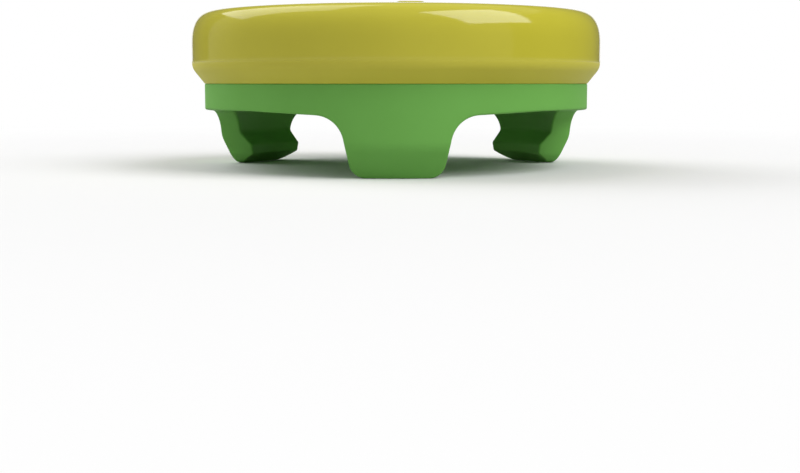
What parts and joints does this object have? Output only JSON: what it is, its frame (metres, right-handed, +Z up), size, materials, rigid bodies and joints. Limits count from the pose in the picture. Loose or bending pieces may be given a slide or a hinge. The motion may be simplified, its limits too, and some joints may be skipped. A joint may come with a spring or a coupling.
{
  "type": "controller thumb grip",
  "caption": "Clip-on thumb grip for a controller stick: a soft round dished pad on a hard clip ring with hooked prongs below.",
  "frame": {"origin": "on the grip's axis, in the plane of the three prong tips that it stands on", "axes": "+Z up the grip's axis towards the thumb; the front prong points along -Y"},
  "size_m": [0.0246, 0.0246, 0.0095],
  "materials": {
    "hard_green": "satin moulded plastic, medium green",
    "soft_yellow": "smooth glossy moulded rubber, mustard yellow"
  },
  "bodies": {
    "root": {"clip_base": "hard_green", "thumb_pad": "soft_yellow"}
  },
  "joints": []
}
